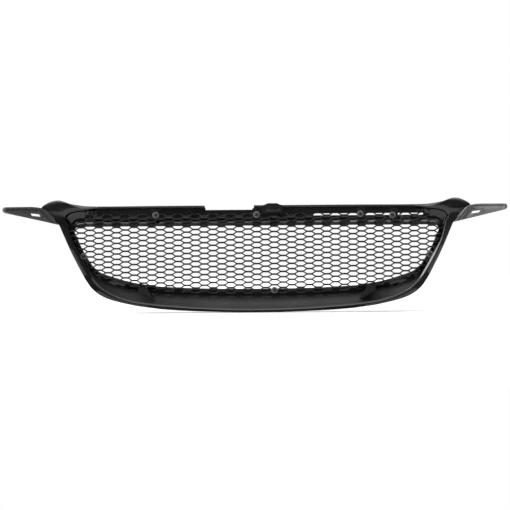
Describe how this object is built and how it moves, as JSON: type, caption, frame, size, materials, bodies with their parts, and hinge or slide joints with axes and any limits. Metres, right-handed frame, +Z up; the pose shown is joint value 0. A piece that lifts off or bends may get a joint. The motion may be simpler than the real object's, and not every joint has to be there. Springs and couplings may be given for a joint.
{
  "type": "car front grille",
  "caption": "Mesh front grille for a compact saloon: gloss moulded surround, expanded mesh screwed on from behind, notched top edge with a clip, swept slotted mounting wings and lower tabs.",
  "frame": {"origin": "centre of the whole grille's box, on its left to right centre plane", "axes": "-Y is the front that faces the road, +Y faces the engine bay, +X runs across the car, +Z is up"},
  "size_m": [0.83, 0.1179, 0.1881],
  "materials": {
    "gloss_black": "gloss moulded black",
    "satin_black": "satin",
    "grey_plastic": "matte moulded, dark grey",
    "mesh_black": "black powder coat on expanded sheet",
    "dark_zinc": "dark zinc plated"
  },
  "bodies": {
    "root": {"bezel": "gloss_black", "top_rail": "gloss_black", "top_clip": "satin_black", "mesh_insert": "mesh_black", "wing_left": "grey_plastic", "wing_right": "grey_plastic", "locating_tab_left": "satin_black", "locating_tab_right": "satin_black", "mesh_washer_top_1": "dark_zinc", "mesh_screw_top_1": "dark_zinc", "mesh_washer_top_2": "dark_zinc", "mesh_screw_top_2": "dark_zinc", "mesh_washer_top_3": "dark_zinc", "mesh_screw_top_3": "dark_zinc", "mesh_washer_top_4": "dark_zinc", "mesh_screw_top_4": "dark_zinc", "mesh_washer_side_left": "dark_zinc", "mesh_screw_side_left": "dark_zinc", "mesh_washer_side_right": "dark_zinc", "mesh_screw_side_right": "dark_zinc", "mesh_washer_bottom": "dark_zinc", "mesh_screw_bottom": "dark_zinc"}
  },
  "joints": []
}
